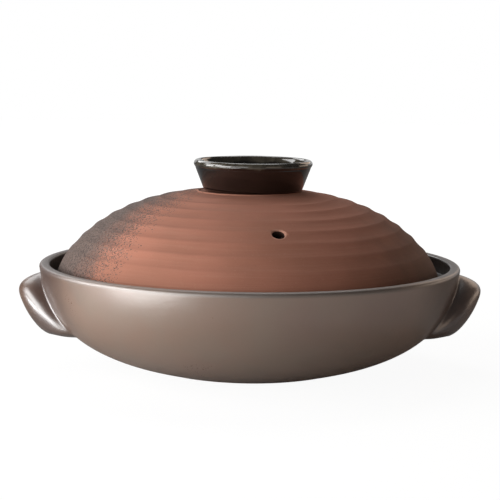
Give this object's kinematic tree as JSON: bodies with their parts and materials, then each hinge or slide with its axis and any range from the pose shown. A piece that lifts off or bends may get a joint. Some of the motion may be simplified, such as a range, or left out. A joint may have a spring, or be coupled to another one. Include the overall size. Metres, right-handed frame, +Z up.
{
  "type": "lidded earthenware hot pot",
  "caption": "Shallow round earthenware hot pot with two lug handles and a ridged domed lid that lifts off by a flared cup knob.",
  "frame": {"origin": "on the table under the middle of the pot, at the centre of the foot ring", "axes": "+Z up along the axis of the pot and lid, +X through the middle of the right lug, -Y towards the side with the steam vent"},
  "size_m": [0.2774, 0.2514, 0.1241],
  "materials": {
    "pot_glaze": "satin metallic bronze glaze over brown clay",
    "lid_clay": "matt unglazed terracotta with a sprayed dark grey-brown side",
    "knob_glaze": "glossy black-brown glaze, thinner and olive at the lip"
  },
  "bodies": {
    "pot": {"pot_body": "pot_glaze", "handle_left": "pot_glaze", "handle_right": "pot_glaze"},
    "lid": {"lid_dome": "lid_clay", "lid_knob": "knob_glaze"}
  },
  "joints": [
    {"name": "lid_lift", "type": "slide", "parent": "pot", "child": "lid", "axis": [0, 0, 1], "range_m": [0, 0.12]}
  ]
}
